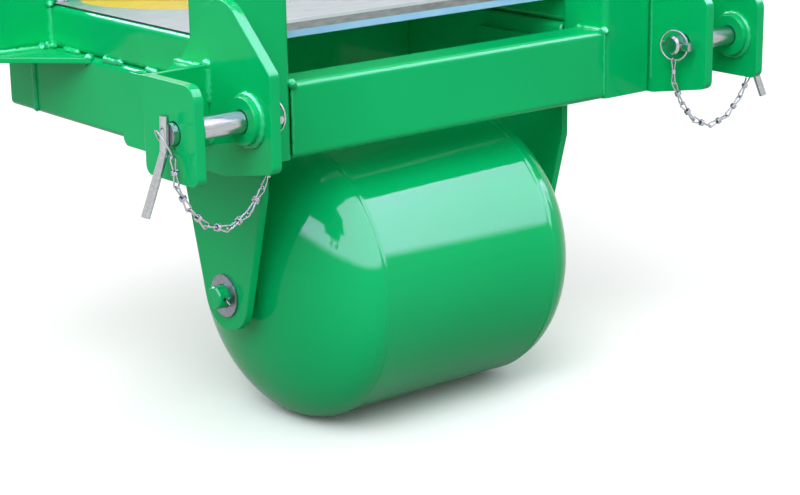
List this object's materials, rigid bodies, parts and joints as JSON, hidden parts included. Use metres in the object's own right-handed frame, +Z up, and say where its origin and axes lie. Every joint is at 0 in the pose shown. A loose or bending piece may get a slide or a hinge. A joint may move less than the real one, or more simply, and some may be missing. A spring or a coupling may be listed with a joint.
{
  "type": "bale wrapper hitch frame with support roller",
  "caption": "Front hitch frame of a bale wrapper: lower and top link hitch with pins and chains, side members, cover sheet and a free-turning support roller.",
  "frame": {"origin": "middle of the rear crossbeam's flat back face, which the machine carries", "axes": "+Y points back into the machine along the carried face's normal, +Z up, +X across to one side"},
  "size_m": [1.21, 0.671, 1.135],
  "materials": {
    "frame_paint": "gloss",
    "roller_paint": "high gloss",
    "axle_paint": "gloss",
    "zinc": "zinc plated",
    "chain_zinc": "zinc plated",
    "cover_sheet": "galvanised sheet"
  },
  "bodies": {
    "frame": {"front_beam": "frame_paint", "top_beam": "frame_paint", "rear_beam": "frame_paint", "lower_rear_beam": "frame_paint", "upright_left": "frame_paint", "upright_right": "frame_paint", "lower_member_left": "frame_paint", "lower_member_right": "frame_paint", "upper_member_left": "frame_paint", "upper_member_right": "frame_paint", "end_caps": "frame_paint", "hitch_plate_inner_left": "frame_paint", "hitch_plate_inner_right": "frame_paint", "hitch_plate_outer_left": "frame_paint", "hitch_plate_outer_right": "frame_paint", "hitch_bosses_left": "frame_paint", "hitch_bosses_right": "frame_paint", "hitch_spacer_left": "frame_paint", "hitch_spacer_right": "frame_paint", "top_link_ears": "frame_paint", "corner_gussets": "frame_paint", "roller_bracket_left": "frame_paint", "roller_bracket_right": "frame_paint", "roller_axle": "axle_paint", "hitch_pin_left": "zinc", "hitch_pin_right": "zinc", "linchpin_left": "zinc", "linchpin_right": "zinc", "top_link_pin": "zinc", "top_linchpin": "zinc", "axle_washers": "zinc", "split_pins": "zinc", "chain_left": "chain_zinc", "chain_right": "chain_zinc", "cover_sheet": "cover_sheet"},
    "roller": {"roller_shell": "roller_paint", "roller_head_left": "roller_paint", "roller_head_right": "roller_paint", "roller_hub": "roller_paint"}
  },
  "joints": [
    {"name": "roller_spin", "type": "hinge", "parent": "frame", "child": "roller", "pos_m": [0, -0.395, -0.38], "axis": [1, 0, 0], "continuous": true}
  ]
}
